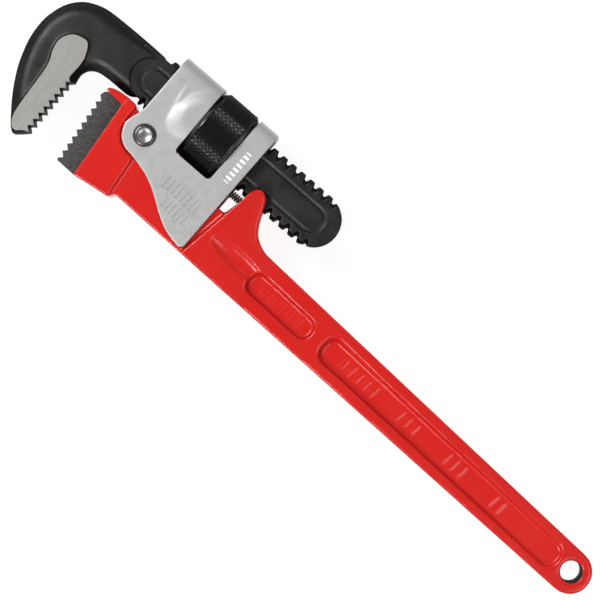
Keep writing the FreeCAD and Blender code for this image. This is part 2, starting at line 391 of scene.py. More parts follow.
# %% Edge wear
def wear_group():
    """A mask that is 1 on outside edges, broken up by noise."""
    tree, given, out = start_group(
        "edge_wear", [("From", "NodeSocketFloat", 0.52), ("To", "NodeSocketFloat", 0.6),
                      ("Breakup", "NodeSocketFloat", 0.5)],
        [("Mask", "NodeSocketFloat")])
    shape = add_node(tree, "ShaderNodeNewGeometry")
    place = add_node(tree, "ShaderNodeTexCoord")
    noise = add_node(tree, "ShaderNodeTexNoise", Scale=700.0, Detail=4.0)
    tree.links.new(place.outputs["Object"], noise.inputs["Vector"])
    edge = add_node(tree, "ShaderNodeMapRange")
    tree.links.new(shape.outputs["Pointiness"], edge.inputs["Value"])
    tree.links.new(given.outputs["From"], edge.inputs["From Min"])
    tree.links.new(given.outputs["To"], edge.inputs["From Max"])
    broken = maths(tree, "MULTIPLY", noise.outputs["Fac"], given.outputs["Breakup"])
    mask = maths(tree, "SUBTRACT", edge.outputs["Result"], broken, clamp=True)
    tree.links.new(mask, out.inputs["Mask"])
    return tree


WEAR = wear_group()
print("shared effects:", [g.name for g in bpy.data.node_groups])

# %% [markdown]
# ## Putting a finish together
# Every finish is one shader fed by blends between two looks, with a mask that says where each shows. The last
# helper dresses a finished piece, puts it on the body that it moves with and lets it stand for its mechanical
# part.

# %% Helpers for finishes
def start_finish(name):
    """A material with one shader, ready for its nodes."""
    finish = bpy.data.materials.new(name)
    finish.use_nodes = True
    tree = finish.node_tree
    return finish, tree, tree.nodes["Principled BSDF"]


def effect(tree, group, **values):
    made = tree.nodes.new("ShaderNodeGroup")
    made.node_tree = group
    for key, value in values.items():
        made.inputs[key.replace("_", " ")].default_value = value
    return made.outputs[0]


def blend(tree, mask, a, b, colour=True):
    """Between a and b by the mask. Each is a colour, a number or another node's output."""
    made = add_node(tree, "ShaderNodeMix", data_type="RGBA" if colour else "FLOAT")
    first = {"A": 6, "B": 7} if colour else {"A": 2, "B": 3}
    for label, value in (("A", a), ("B", b)):
        socket = made.inputs[first[label]]
        if isinstance(value, bpy.types.NodeSocket):
            tree.links.new(value, socket)
        else:
            socket.default_value = (*value, 1.0) if colour else value
    tree.links.new(mask, made.inputs[0])
    return made.outputs[2 if colour else 0]


def relief(tree, shader, height, strength, distance):
    bump = add_node(tree, "ShaderNodeBump", Strength=strength, Distance=distance)
    tree.links.new(height, bump.inputs["Height"])
    tree.links.new(bump.outputs["Normal"], shader.inputs["Normal"])


def wear_finish(piece, finish, body, slot, *nodes):
    """Dress a piece, put it on its body and let it stand for its mechanical part."""
    piece.data.materials.clear()
    piece.data.materials.append(finish)
    settle(piece)
    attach(piece, body)
    if nodes:
        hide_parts(*nodes)
    return count(piece)


print("finishing:", start_finish.__name__, effect.__name__, blend.__name__, relief.__name__)

# %% [markdown]
# ## Red enamel
# The handle is dipped or sprayed with a thick glossy enamel. Its colour is even, but the film is slightly
# rippled like orange peel and it follows the forging below. So the colour moves only a little, and the
# gloss and the relief do the work. Inside the hanging hole a round mask about the hole's centre paints the
# wall dark brown and dull: this is painted shade, standing in for the shadow inside the hole.

# %% Red enamel
def red_enamel():
    finish, tree, shader = start_finish("red_enamel")
    clouds = effect(tree, CLOUDS, Scale=25.0)
    colour = blend(tree, clouds, (0.60, 0.012, 0.009), (0.66, 0.018, 0.013))
    place = add_node(tree, "ShaderNodeTexCoord")
    flat, away = (add_node(tree, "ShaderNodeVectorMath") for _ in range(2))
    flat.operation, away.operation = "MULTIPLY", "DISTANCE"
    flat.inputs[1].default_value = (1, 1, 0)
    away.inputs[1].default_value = (*grip(*HANGING_HOLE).xy, 0)
    tree.links.new(place.outputs["Object"], flat.inputs[0])
    tree.links.new(flat.outputs["Vector"], away.inputs[0])
    # painted shade: the wall of the hanging hole is painted dark brown, as if it lay in shadow
    hole_shade_mask = maths(tree, "LESS_THAN", away.outputs["Value"], (HOLE_RADIUS + 0.22) * MM)
    tree.links.new(blend(tree, hole_shade_mask, colour, (0.035, 0.016, 0.010)), shader.inputs["Base Color"])
    gloss = blend(tree, effect(tree, CLOUDS, Scale=90.0), 0.2, 0.28, colour=False)
    tree.links.new(blend(tree, hole_shade_mask, gloss, 0.95, colour=False), shader.inputs["Roughness"])
    tree.links.new(blend(tree, hole_shade_mask, 0.2, 0.0, colour=False), shader.inputs["Coat Weight"])
    shader.inputs["Specular IOR Level"].default_value = 0.3
    shader.inputs["Coat Roughness"].default_value = 0.1
    peel = effect(tree, GRAIN, Fine_Scale=700.0, Broad_Scale=130.0, Broad_Share=0.75)
    relief(tree, shader, peel, 0.35, 0.0004)
    return finish


RED = red_enamel()
print(RED.name, "ready")

# %% [markdown]
# ## The handle
# The handle is one drop forging: the head that carries the heel jaw, a thinner tongue between the frame's
# plates, a fork that straddles the shank, and the grip. It could be boxes joined together, but a forging has
# one skin with soft corners. So its outline is drawn once, its side profile is cut to taper, the hollows are
# cut, and the whole is turned into one even skin and smoothed.

# %% Handle: outline and taper
def handle_blank():
    hump = flow([grip(*p) for p in [(70, -2.2), (65.5, -1.8), (60.5, 0.5), (57.4, 4), (55.2, 8), (53.7, 11.6),
                                    (51.8, 14.2), (49.5, 15.3), (47.4, 14.6), (45.8, 12)]], 3)
    front = [grip(*p) for p in [(45.5, 8), (43.9, -1.3), (31, -1.5), (12.5, -0.2), (6, 5.4), (-9.6, 5.4),
                                (-11, 6.7), (-14.5, 6.6), (-14.8, 2.3), (-10.4, -30.5), (5.5, -27.8), (6.6, -25.2),
                                (50, -24.7), (100, -24.0), (240.6, -22.2)]]
    end = [grip(240.8 + 9 * math.cos(a), -13.2 + 9 * math.sin(a))
           for a in (math.radians(d) for d in range(-75, 90, 15))]
    back = [grip(240.8, -4.2), grip(150, -3.2)]
    blank = thicken(outline("handle_forging", front + end + back + hump), -12.5, 12.5)

    sides = [(-30, 11.5), (20, 11.5), (38, 12.5), (46, 12.5), (74, 9.2), (228, 7.0), (256, 7.0)]
    side = outline("side_profile", [at(x, 0, z) for x, z in sides] + [at(x, 0, -z) for x, z in reversed(sides)])
    edit(side)
    bpy.ops.transform.translate(value=(0, -0.05, 0))
    bpy.ops.mesh.extrude_region_move(TRANSFORM_OT_translate={"value": (0, 0.1, 0)})
    combine(blank, close_up(side), "INTERSECT")
    return soften(blank, 2.4, 4, 30)


handle = count(handle_blank())

# %% [markdown]
# ## Hollows in the handle
# The die leaves two long sunk panels on each side of the grip, with sloping walls so that the forging comes
# out of it. Their walls are made by growing the mouth of each cutter. The tongue is milled thinner where the
# frame's plates swing, and the fork is slotted for the shank.

# %% Handle: hollows, slot and holes
def sunk_panel(u, v, floor, side, mouth=14, slope=0.63):
    """A cutter with rounded ends and sloping walls, for one face of the grip."""
    corners = [(u[0], v[0]), (u[1], v[0]), (u[1], v[1]), (u[0], v[1])]
    cutter = outline("panel", [grip(*c) for c in corners])
    round_corners(cutter, (v[1] - v[0]) * 0.42, 8)
    thicken(cutter, floor if side > 0 else -mouth, mouth if side > 0 else -floor)
    edit(cutter, everything=False)
    middle = grip((u[0] + u[1]) / 2, (v[0] + v[1]) / 2, mouth * side)
    pick(cutter, lambda place, face: abs(place.z - middle.z) < 1e-4)
    grow = [1 + slope * (mouth - floor) / (b - a) for a, b in (u, v)]
    bpy.ops.transform.resize(value=(grow[0], grow[1], 1), center_override=middle)
    fresh()
    return cutter


def cut_handle(handle):
    pocket = [grip(*p) for p in [(-1.0, -9.9), (2.4, -9.9), (6.2, -34), (40.5, -34), (41.7, -24), (45.5, 8),
                                 (46, 20)]]
    pocket += [at(-10.0, 20.6), at(-10.0, 0), at(-1.3, -9.8)]
    for low, high in ((10, 20), (-20, -10)):
        combine(handle, thicken(outline("plate_room", pocket), low, high))
        combine(handle, rod("eye_room", 9.9, at(0, 0, low), at(0, 0, high)))
    slot = [at(42, 3.4), at(62, 1.3), at(62, 40), at(42, 40)]
    combine(handle, thicken(outline("slot", slot), -6.5, 6.5))
    for side in (1, -1):
        combine(handle, sunk_panel((69.5, 101), (-17.6, -9.4), 6.6, side))
        combine(handle, sunk_panel((108.8, 234), (-18.3, -8.4), 5.4, side))
    combine(handle, rod("hanging_hole", HOLE_RADIUS, grip(*HANGING_HOLE, -20), grip(*HANGING_HOLE, 20)))
    combine(handle, rod("spring_seat", 1.85, at(42, 5.07, 8.6), at(54.4, 5.07, 8.6)))
    combine(handle, rod("rivet_hole", 3.5, at(0, 0, -20), at(0, 0, 20)))
    return handle


count(cut_handle(handle))

# %% [markdown]
# ## Small shapes on the handle
# Round the heel jaw the head keeps its full width, with a thin lip over the jaw's end. Each panel has rows of
# low slanted bars, and a shallow scoop fades out on either side of the shoulder. The bars are plain stand-ins
# for raised marks. One bar is drawn and set down again at each place, which is quicker than carving them.

# %% Handle: seat, raised bars and scoops
def handle_details():
    """The full-width seat and lip round the heel jaw, and the raised marks in the panels."""
    seat = [(-16.8, 2.3), (-12.4, -30.9), (-6, -29.9), (-8.5, -12), (-10.5, -6), (-10.5, 5.4), (-11.2, 6.7),
            (-15, 6.7), (-19, 6.2), (-22.2, 5.2), (-23.4, 4.3), (-23.6, 2.0), (-16.8, 1.6)]
    parts = [soften(thicken(outline("seat", [grip(*p) for p in seat]), -11.3, 11.3), 0.45, 2, 60)]
    marks = [(6.6, 6.85, -13.5, 2.9, (75.5, 80, 84.5, 89, 93.5)),
             (5.4, 5.65, -13.3, 2.7, (118, 122, 126, 130, 134, 148, 152, 156, 173, 177, 181, 198, 202))]
    for floor, top, v, half, places in marks:
        for u in places:
            corners = [grip(u, v - half), grip(u + 1.5, v - half),
                       grip(u + 2.1, v + half), grip(u + 0.6, v + half)]
            for low, high in ((floor - 1, top), (-top, 1 - floor)):
                parts.append(thicken(outline("mark", corners), low, high))
    return parts


def flute(side):
    """A shallow scoop that fades out towards the shoulder."""
    fresh()
    bpy.ops.mesh.primitive_uv_sphere_add(segments=64, ring_count=32, radius=1,
                                         location=grip(60.5, -11.5, 10.9 * side),
                                         rotation=(0, side * math.radians(6.7), -TILT))
    scoop = name_it("scoop")
    scoop.scale = (14 * MM, 3.7 * MM, 1.5 * MM)
    return settle(scoop)


for side in (1, -1):
    combine(handle, flute(side))
melt_in(handle, handle_details())
count(handle)

# %% [markdown]
# ## One skin for the handle
# Everything so far is melted into one skin. Then the seat of the heel jaw is milled: that cut comes last,
# because it has to fit the jaw closely and its edges are sharp on the real tool.

# %% Handle: forge, jaw seat and finish
forge(handle, 0.52, 9)
jaw_room = [(-26, 3.2), (-22.9, 3.1), (-15.2, 2.8), (-14.8, 2.3), (-10.4, -30.6), (-10.1, -33), (-26, -33)]
combine(handle, thicken(outline("jaw_room", [grip(*p) for p in jaw_room]), -13, 13))
smooth_shading(handle, 50)
wear_finish(handle, RED, "handle_body", "red_enamel", "handle")

# %% [markdown]
# ## Dark tool steel
# The heel jaw is hardened and left in its dark, blotchy scale. The colour wanders between two greys and the
# surface is rough enough to stay matte. Fine clouds between the two greys give the blotches, and a little
# edge wear lights up the tips of the teeth.

# %% Dark tool steel
def jaw_steel():
    finish, tree, shader = start_finish("jaw_steel")
    clouds = effect(tree, CLOUDS, Scale=800.0, Sharpness=0.8)
    dark = blend(tree, clouds, (0.022, 0.022, 0.021), (0.088, 0.084, 0.080))
    worn = effect(tree, WEAR, From=0.53, To=0.62, Breakup=0.6)
    tree.links.new(blend(tree, worn, dark, (0.25, 0.25, 0.24)), shader.inputs["Base Color"])
    tree.links.new(blend(tree, clouds, 0.5, 0.72, colour=False), shader.inputs["Roughness"])
    shader.inputs["Metallic"].default_value = 0.35
    scale = effect(tree, GRAIN, Fine_Scale=1600.0, Broad_Scale=350.0, Broad_Share=0.5)
    relief(tree, shader, scale, 0.5, 0.0003)
    return finish


JAW_STEEL = jaw_steel()
print(JAW_STEEL.name, "ready")

# %% [markdown]
# ## The heel jaw
# The heel jaw is a block with a row of teeth broached straight across it. The teeth could be cut one at a
# time, but they are all alike, so the block's outline is drawn with the zigzag already in it. Its edges are
# only just broken, because sharp teeth are what grips the pipe.

# %% Heel jaw
def zigzag(first, last, tips, depth):
    """Tooth tips from first to last, with a root between each two."""
    points = []
    for i in range(tips):
        t = i / (tips - 1)
        u, v = first[0] + t * (last[0] - first[0]), first[1] + t * (last[1] - first[1])
        if points:
            points.append(((u + points[-1][0]) / 2 + depth, (v + points[-1][1]) / 2))
        points.append((u, v))
    return points


def make_heel_jaw():
    edge = [(-15.2, 2.7), (-22.3, 3.0), (-23.4, 2.2)] + zigzag((-24, 0), (-19.6, -29.8), 10, 1.8)
    edge += [(-18.9, -30.6), (-10.4, -30.5), (-14.8, 2.3)]
    jaw = thicken(outline("heel_jaw_block", [grip(*p) for p in edge]), -10, 10)
    return smooth_shading(soften(jaw, 0.25, 3, 30), 40)


wear_finish(make_heel_jaw(), JAW_STEEL, "handle_body", "jaw_steel", "heel_jaw")

# %% [markdown]
# ## Black oxide and ground steel
# The hook jaw and the nut are blackened in a hot salt bath. The film is thin, so it is darkest in the hollows
# and a little grey and streaky on broad faces. The hook's flanks are ground bright afterwards, which takes
# the black off wherever the forging stands highest: a height mask does the same here. The film could be a
# black paint, but paint shines white at a glancing angle. A dark metal with a low tint stays black there.

# %% Black oxide, with or without ground flanks
def black_oxide(name, ground_height=None, wear_and_glint_colour=(0.075, 0.075, 0.075), wear=(0.54, 0.64),
                gloss=(0.36, 0.48)):
    finish, tree, shader = start_finish(name)
    clouds = effect(tree, CLOUDS, Scale=55.0, Sharpness=0.4)
    base = blend(tree, clouds, (0.030, 0.030, 0.030), (0.050, 0.0495, 0.0485))
    worn = effect(tree, WEAR, From=wear[0], To=wear[1], Breakup=0.45)
    # edge colour: wear, and on the nut also a painted highlight on the knurl tips
    base = blend(tree, worn, base, wear_and_glint_colour)
    rough = blend(tree, effect(tree, CLOUDS, Scale=160.0, Sharpness=0.4), *gloss, colour=False)
    if ground_height is not None:
        place = add_node(tree, "ShaderNodeTexCoord")
        split = add_node(tree, "ShaderNodeSeparateXYZ")
        tree.links.new(place.outputs["Object"], split.inputs["Vector"])
        up = maths(tree, "ABSOLUTE", maths(tree, "SUBTRACT", split.outputs["Z"], PIVOT.z))
        high = maths(tree, "GREATER_THAN", up, ground_height * MM)
        stripes = add_node(tree, "ShaderNodeMapping")
        stripes.inputs["Scale"].default_value = (3200, 90, 90)
        stripes.inputs["Rotation"].default_value = (0, 0, math.radians(3))
        tree.links.new(place.outputs["Object"], stripes.inputs["Vector"])
        brushed = add_node(tree, "ShaderNodeTexNoise", Scale=1.0, Detail=3.0)
        tree.links.new(stripes.outputs["Vector"], brushed.inputs["Vector"])
        steel = blend(tree, brushed.outputs["Fac"], (0.30, 0.29, 0.276), (0.40, 0.388, 0.37))
        base = blend(tree, high, base, steel)
        streaks = blend(tree, brushed.outputs["Fac"], 0.38, 0.52, colour=False)
        rough = blend(tree, high, rough, streaks, colour=False)
    tree.links.new(base, shader.inputs["Base Color"])
    tree.links.new(rough, shader.inputs["Roughness"])
    shader.inputs["Metallic"].default_value = 0.9
    shader.inputs["Specular IOR Level"].default_value = 0.2
    shader.inputs["Specular Tint"].default_value = (0.25, 0.25, 0.25, 1.0)
    skin = effect(tree, GRAIN, Fine_Scale=1300.0, Broad_Scale=260.0, Broad_Share=0.55)
    relief(tree, shader, skin, 0.3, 0.0003)
    return finish


HOOK_BLACK = black_oxide("hook_black", ground_height=9.05)
SHANK_BLACK = black_oxide("shank_black")
# The nut's knurl tips are lightened to light grey by the edge mask: partly wear, partly a painted highlight for
# the glint of the tips.
NUT_BLACK = black_oxide("nut_black", wear_and_glint_colour=(0.24, 0.24, 0.24), wear=(0.505, 0.6), gloss=(0.17, 0.26))
print("ready:", HOOK_BLACK.name, SHANK_BLACK.name, NUT_BLACK.name)

# %% [markdown]
# ## The hook's head
# The hook is a forging with a thick rib behind its teeth. The rib's two flanks are ground flat, and the body
# around it is lower, so the bright patch has a clean edge. It could be one block with the patch painted on,
# but the step would be missing. So the head is made as a low, well rounded body and a higher rib, both drawn
# a little past the tooth line.

# %% Hook head: body and rib
def hook_body():
    back = flow([grip(*p) for p in [(-12.5, 28.4), (-20, 28.35), (-30, 28.05), (-40, 27.5), (-46, 26.8),
                                    (-51, 25.0), (-55.5, 22), (-59.4, 16.5), (-61.45, 9), (-61.55, 3),
                                    (-60.6, -3), (-59, -8), (-57, -13), (-54, -18.5), (-50, -24.5),
                                    (-46, -29.5), (-43, -33), (-41.3, -34.3)]], 3)
    face = [grip(*p) for p in [(-39.5, -35.4), (-34.2, -34.4), (-32.4, -30.0), (-33.2, -7.3), (-35.0, -3.6)]]
    throat = flow([grip(*p) for p in [(-35.8, 0.5), (-34.9, 3.2), (-33.2, 5.0), (-30.6, 6.2), (-26, 6.78)]], 3)
    shape = back + face + throat + [at(-11.6, 7.6), at(-11.6, 28.6)]
    body = thicken(outline("hook_head", shape), -7.4, 7.4)
    modify(body, "BEVEL", width=6.0 * MM, segments=8, limit_method="ANGLE", angle_limit=math.radians(50),
           use_clamp_overlap=False, harden_normals=False)
    back_edge = flow([grip(*p) for p in [(-40, 10), (-42.5, 12.2), (-48, 10.5), (-50.7, 6), (-50.6, 2.5),
                                         (-49.6, -0.6), (-47.9, -4), (-46.9, -9), (-46.1, -16), (-45.3, -23),
                                         (-44.2, -29), (-42.6, -32.0), (-40.9, -33.3)]], 3)
    front_edge = [grip(*p) for p in [(-39.2, -33.2), (-37.0, -31.0), (-32.6, -29.4), (-33.4, -7.3),
                                     (-35.6, -4.6), (-37.7, -3.6), (-37.7, 3), (-38.3, 6.5)]]
    rib = thicken(outline("rib", back_edge + front_edge), -9.8, 9.8)
    return melt_in(body, [rib])


hook = count(hook_body())

# %% [markdown]
# ## Grinding the flanks and milling the teeth
# Body and rib are melted into one skin and then machined in the order of the real work. A flat cut grinds the
# top off the rib, a round and a straight one leave the step where the shank begins, and the teeth are milled
# last, as one cut, so they stay sharp.

# %% Hook head: one skin, ground flanks, step and teeth
def finish_hook(hook):
    forge(hook, 0.42, 14)
    for low, high in ((9.2, 15), (-15, -9.2)):
        combine(hook, box("grinder", (-70, 0), (-45, 40), (low, high)))
    for low, high in ((5.9, 15), (-15, -5.9)):
        centre = grip(-14, 18, low)
        combine(hook, rod("round_step", 8.5, centre, centre + Vector((0, 0, (high - low) * MM)), 96))
        combine(hook, box("flat_step", (-13.2, 0), (0, 40), (low, high)))
    profile = zigzag((-35.15, -30.0), (-35.95, -7.3), 8, -1.9)
    milled = [(-39.3, -34.7), (-36.2, -31.5)] + profile + [(-37.6, -5.6), (-35.9, -4.0), (-30.5, -4.0),
                                                           (-30.5, -38), (-44, -38), (-43, -35.0)]
    combine(hook, thicken(outline("tooth_line", [grip(*p) for p in milled]), -12, 12))
    return smooth_shading(hook, 32)


finish_hook(hook)
wear_finish(hook, HOOK_BLACK, "hook_body", "black_oxide", "hook_jaw")

# %% [markdown]
# ## The screw shank
# A thread is a profile swept round an axis while it moves along it. Turning one tooth of the profile with a
# Screw modifier gives the exact helix. Then two flat cuts take the sides away and leave the thread only on
# the narrow edges, which is just how the real shank looks.

# %% Screw shank: thread and flat sides
PITCH, CREST, FLANK, DEPTH = 4.75, 2.3, 0.75, 1.9
CREST_RADIUS, HALF_FLAT, SHANK_LINE = 11.45, 6.1, 18.5


def threaded_bar(name, start, turns, sides=48):
    """A screw with a crest straight over the axis at every whole pitch from the pivot."""
    fresh()
    centre = Vector((PIVOT.x + start * PITCH * MM, NUT.y, NUT.z))
    bpy.ops.mesh.primitive_plane_add(size=MM, location=centre)
    bar = name_it(name)
    edit(bar)
    bpy.ops.mesh.merge(type="CENTER")
    bpy.ops.transform.translate(value=(-CREST / 2 * MM, CREST_RADIUS * MM, 0))
    for step in ((CREST, 0), (FLANK, -DEPTH), (PITCH - CREST - 2 * FLANK, 0), (FLANK, DEPTH)):
        bpy.ops.mesh.extrude_vertices_move(TRANSFORM_OT_translate={"value": (step[0] * MM, step[1] * MM, 0)})
    fresh()
    modify(bar, "SCREW", axis="X", angle=math.tau, screw_offset=PITCH * MM, iterations=turns,
           steps=sides, render_steps=sides, use_merge_vertices=True, merge_threshold=1e-6,
           use_smooth_shade=False)
    return settle(bar)


def slice_off(piece, place, normal):
    """Cut flat and close the cut. The side that the normal points to goes."""
    edit(piece)
    bpy.ops.mesh.bisect(plane_co=place, plane_no=normal, use_fill=True, clear_outer=True)
    fresh()
    return piece


def make_shank():
    shank = threaded_bar("screw_shank", -4, 23)
    edit(shank)
    bpy.ops.mesh.remove_doubles(threshold=1e-6)
    close_up(shank)
    slice_off(shank, at(-11.4, 0), (-1, 0, 0))
    slice_off(shank, at(84.5, 0), (1, 0, 0))
    slice_off(shank, at(0, 0, HALF_FLAT), (0, 0, 1))
    slice_off(shank, at(0, 0, -HALF_FLAT), (0, 0, -1))
    bar = [at(72.1 + 11.1 * math.cos(a), 18.9 + 11.1 * math.sin(a))
           for a in (math.radians(d) for d in range(-80, 81, 10))]
    limits = [at(-30, 5), at(72.1, 5)] + bar + [at(72.1, 33), at(-30, 33)]
    combine(shank, thicken(outline("round_end", limits), -12, 12), "INTERSECT")
    neck = outline("neck", [at(-24, 9.6), at(-11.0, 9.6), at(-11.0, 28.2), at(-24, 28.2)])
    combine(shank, thicken(neck, -HALF_FLAT, HALF_FLAT), "UNION")
    return shank


shank = count(make_shank())

# %% [markdown]
# ## The groove round the shank's flats
# Each flat side has a long raised field with round ends, set off by a groove. The groove is cut with a ring:
# a long rounded bar with a narrower one taken out of it. After that the shank is forged lightly, which
# rounds the thread's crests a little but keeps their shape.

# %% Screw shank: groove and finish
def pill(x, radius, low, high):
    below, above = SHANK_LINE - radius, SHANK_LINE + radius
    corners = [at(x[0], below), at(x[1], below), at(x[1], above), at(x[0], above)]
    return thicken(round_corners(outline("pill", corners), radius * 0.995, 10), low, high)


def groove_flats(shank):
    for low, high in ((5.6, 8), (-8, -5.6)):
        ring = pill((-17.6, 76.8), 5.7, low, high)
        combine(ring, pill((-16.5, 75.7), 4.6, -9, 9))
        combine(shank, ring)
    return shank


forge(groove_flats(shank), 0.325, 2)
smooth_shading(shank, 50)
wear_finish(shank, SHANK_BLACK, "hook_body", "black_oxide", "hook_jaw")

# %% [markdown]
# ## The knurled nut
# Diamond knurl is rolled in: two crossing sets of fine grooves leave rows of small pyramids. It could be
# faked with a bump, but it shows on the outline. Poking every face of a fine grid and removing the grid's own
# edges turns squares into diamonds. A second poke, pushed outwards, raises each diamond to a point. The rims
# are extruded and drawn in, and a bridge between them makes the bore.

# %% Knurled nut
def make_nut():
    radius, half, rows, sides = 15.67, 7.2, 7, 50
    fresh()
    bpy.ops.mesh.primitive_cylinder_add(vertices=sides, radius=radius * MM, depth=2 * half * MM, location=NUT,
                                        rotation=(0, math.pi / 2, 0), end_fill_type="NOTHING")
    nut = settle(name_it("knurled_nut"))
    edit(nut, everything=False)
    pick(nut, lambda place, edge: abs(place.x - NUT.x) < 1e-5, "edges")
    bpy.ops.mesh.subdivide(number_cuts=rows - 1)
    bm = bmesh.from_edit_mesh(nut.data)
    grid = {frozenset(tuple(round(c, 7) for c in v.co) for v in e.verts)
            for e in bm.edges if len(e.link_faces) == 2}
    bpy.ops.mesh.select_all(action="SELECT")
    bpy.ops.mesh.poke(offset=0.0)
    pick(nut, lambda place, edge: frozenset(tuple(round(c, 7) for c in v.co) for v in edge.verts) in grid, "edges")
    bpy.ops.mesh.dissolve_edges(use_verts=False)
    bpy.context.tool_settings.mesh_select_mode = (False, False, True)
    bpy.ops.mesh.select_all(action="SELECT")
    bpy.ops.mesh.poke(offset=0.53 * MM)
    rim = ((0.35, 0.995), (1.2, 0.925), (0.0, 0.66))
    for side in (1, -1):
        pick(nut, lambda place, edge: len(edge.link_faces) == 1
             and (place.x - NUT.x) * side > 0.5 * half * MM, "edges")
        for along, shrink in rim:
            bpy.ops.mesh.extrude_edges_move(TRANSFORM_OT_translate={"value": (side * along * MM, 0, 0)})
            bpy.ops.transform.resize(value=(1, shrink, shrink), center_override=NUT)
    pick(nut, lambda place, edge: len(edge.link_faces) == 1, "edges")
    bpy.ops.mesh.bridge_edge_loops()
    return smooth_shading(close_up(nut), 12)


wear_finish(make_nut(), NUT_BLACK, "nut_body", "black_oxide", "adjusting_nut")

# %% [markdown]
# ## Zinc plating
# The frame's dull grey is zinc plating with a fine, even grain. A row of white ticks is printed on the right
# strap. They could be thin raised blocks, but ink has no thickness, so they belong to the finish: three
# bands, one each way, fence off the strap, and a repeating step along it makes the ticks.

# %% Plated sheet
def plated_sheet():
    finish, tree, shader = start_finish("plated_sheet")
    clouds = effect(tree, CLOUDS, Scale=45.0, Sharpness=0.2)
    grey = blend(tree, clouds, (0.455, 0.455, 0.451), (0.48, 0.48, 0.475))
    worn = effect(tree, WEAR, From=0.57, To=0.75, Breakup=0.4)
    metal = blend(tree, worn, grey, (0.5, 0.5, 0.495))
    place = add_node(tree, "ShaderNodeTexCoord")
    away = add_node(tree, "ShaderNodeVectorMath", operation="SUBTRACT")
    away.inputs[1].default_value = PIVOT
    tree.links.new(place.outputs["Object"], away.inputs[0])
    split = add_node(tree, "ShaderNodeSeparateXYZ")
    tree.links.new(away.outputs[0], split.inputs["Vector"])

    def between(axis, low, high):
        above = maths(tree, "GREATER_THAN", split.outputs[axis], low * MM)
        return maths(tree, "MULTIPLY", above, maths(tree, "LESS_THAN", split.outputs[axis], high * MM))

    ticks = maths(tree, "LESS_THAN", maths(tree, "MODULO", split.outputs["Y"], 2.1 * MM), 1.15 * MM)
    scale = maths(tree, "MULTIPLY", maths(tree, "MULTIPLY", between("X", 34.9, 37.4), between("Y", 7.0, 21.6)),
                  maths(tree, "MULTIPLY", between("Z", 11.5, 14), ticks))
    tree.links.new(blend(tree, scale, metal, (0.92, 0.92, 0.92)), shader.inputs["Base Color"])
    rough = blend(tree, effect(tree, CLOUDS, Scale=300.0), 0.38, 0.5, colour=False)
    tree.links.new(rough, shader.inputs["Roughness"])
    bare = maths(tree, "SUBTRACT", 0.45, maths(tree, "MULTIPLY", scale, 0.45))
    tree.links.new(bare, shader.inputs["Metallic"])
    grain = effect(tree, GRAIN, Fine_Scale=2200.0, Broad_Scale=150.0, Broad_Share=0.5)
    relief(tree, shader, grain, 0.25, 0.0002)
    return finish


SHEET = plated_sheet()
print(SHEET.name, "ready")

# %% [markdown]
# ## The pressed frame
# The frame is one blank of sheet steel, folded over a bar, so it has soft bends. It is drawn as its own
# cross-section and pulled along the shank in small steps. The press also leaves a soft dome on each plate.
# Its height changes everywhere, and moving points by hand with a soft brush can't repeat that on both
# plates. So this one shape comes from a formula: each point of the plates is pushed out by the dome's height.
# Only then does the sheet get its thickness, so both of its sides follow the dome.

# %% Frame: fold, crown and thickness
SHEET_THICKNESS = 1.9


def fold_sheet(steps=72, stride=0.75):
    """The channel's middle surface, pulled along the shank in small steps."""
    half, top, bend, foot = 11.5, 33.6, 3.5, -25.5
    corner = [math.radians(d) for d in range(0, 91, 15)]
    section = [(foot + (top - bend - foot) * i / 36, -half) for i in range(36)]
    section += [(top - bend + bend * math.sin(a), -half + bend - bend * math.cos(a)) for a in corner]
    section += [(top, -half + bend + (half - bend) * i / 4) for i in range(1, 5)]
    section += [(y, -z) for y, z in reversed(section[:-1])]
    sheet = draw_line("pressed_frame", [at(-10.5, y, z) for y, z in section])
    for _ in range(steps):
        bpy.ops.mesh.extrude_edges_move(TRANSFORM_OT_translate={"value": (stride * MM, 0, 0)})
    return settle(close_up(sheet))


def press_crown(sheet, rise=1.15, crease=0.28, plate=11):
    """Push each plate out in a soft dome that the window cuts through, with a short crease beside it."""
    for vert in sheet.data.vertices:
        x, y, z = (vert.co - PIVOT) / MM
        if abs(z) < plate:
            continue
        across, along = (x - 10.6) / 9.2, (y - 19.0 - 0.35 * (x - 10)) / 11.5
        reach = max(0.0, 1 - across * across - along * along)
        push = rise * min(1.0, reach * 1.35) ** 0.9
        side, length = (x - 1.0 + 0.12 * (y - 21)) / 0.9, (y - 21.0) / 5.5
        push += crease * max(0.0, 1 - side * side) * max(0.0, 1 - length * length)
        vert.co.z += math.copysign(push * MM, z)
    return sheet


sheet = press_crown(fold_sheet())
modify(sheet, "SUBSURF", levels=1, render_levels=1)
modify(sheet, "SOLIDIFY", thickness=SHEET_THICKNESS * MM, offset=0.0)
count(sheet)

# %% [markdown]
# ## Trimming and piercing the frame
# The folded sheet is trimmed to its outline with one big intersection, forged so that the cut edges get the
# small radius of a punch, and then pierced: the window for the nut, the rivet's hole and rows of stamped
# bars. The bars are plain stand-ins for stamped marks. Last comes the small tab that the spring pushes on.

